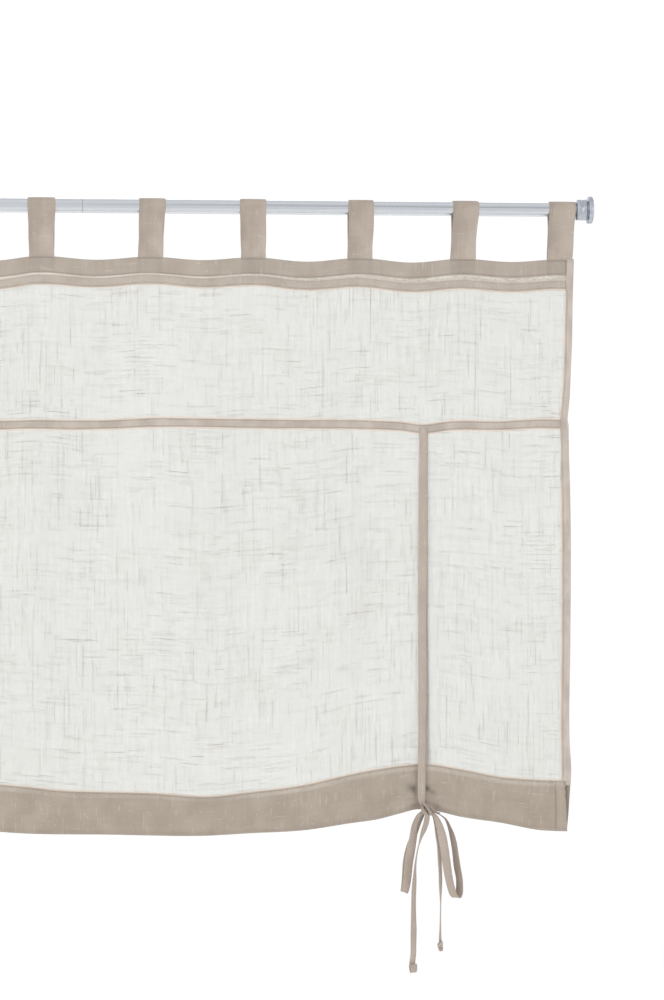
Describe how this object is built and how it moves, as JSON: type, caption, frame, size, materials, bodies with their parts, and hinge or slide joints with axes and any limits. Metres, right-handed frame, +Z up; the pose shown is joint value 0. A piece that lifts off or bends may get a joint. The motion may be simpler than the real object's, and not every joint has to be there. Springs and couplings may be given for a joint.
{
  "type": "roll-up curtain with rod",
  "caption": "Tie-up blind of white voile with taupe bands and side bindings, hung by tabs on a metal rod, held up by tape ties that end in bows.",
  "frame": {"origin": "middle of the rod's axis", "axes": "+X along the rod to the right as seen from the room, -Y towards the room, which is the blind's front, +Z up"},
  "size_m": [1.252, 0.0425, 1.1003],
  "materials": {
    "voile": "sheer white voile with slubs, matt",
    "taupe_cloth": "plain-woven taupe linen look, matt",
    "rod_metal": "satin silver lacquer",
    "cap_metal": "darker satin silver"
  },
  "bodies": {
    "root": {"rod": "rod_metal", "end_cap_left": "cap_metal", "end_cap_right": "cap_metal", "tab_1": "taupe_cloth", "tab_2": "taupe_cloth", "tab_3": "taupe_cloth", "tab_4": "taupe_cloth", "tab_5": "taupe_cloth", "tab_6": "taupe_cloth", "tab_7": "taupe_cloth", "tab_8": "taupe_cloth", "tab_9": "taupe_cloth", "voile_panel": "voile", "heading_band": "taupe_cloth", "cross_band": "taupe_cloth", "side_binding_left": "taupe_cloth", "side_binding_right": "taupe_cloth", "hem_tunnel": "taupe_cloth", "tie_front_left": "taupe_cloth", "tie_front_right": "taupe_cloth", "tie_back_left": "taupe_cloth", "tie_back_right": "taupe_cloth"}
  },
  "joints": []
}
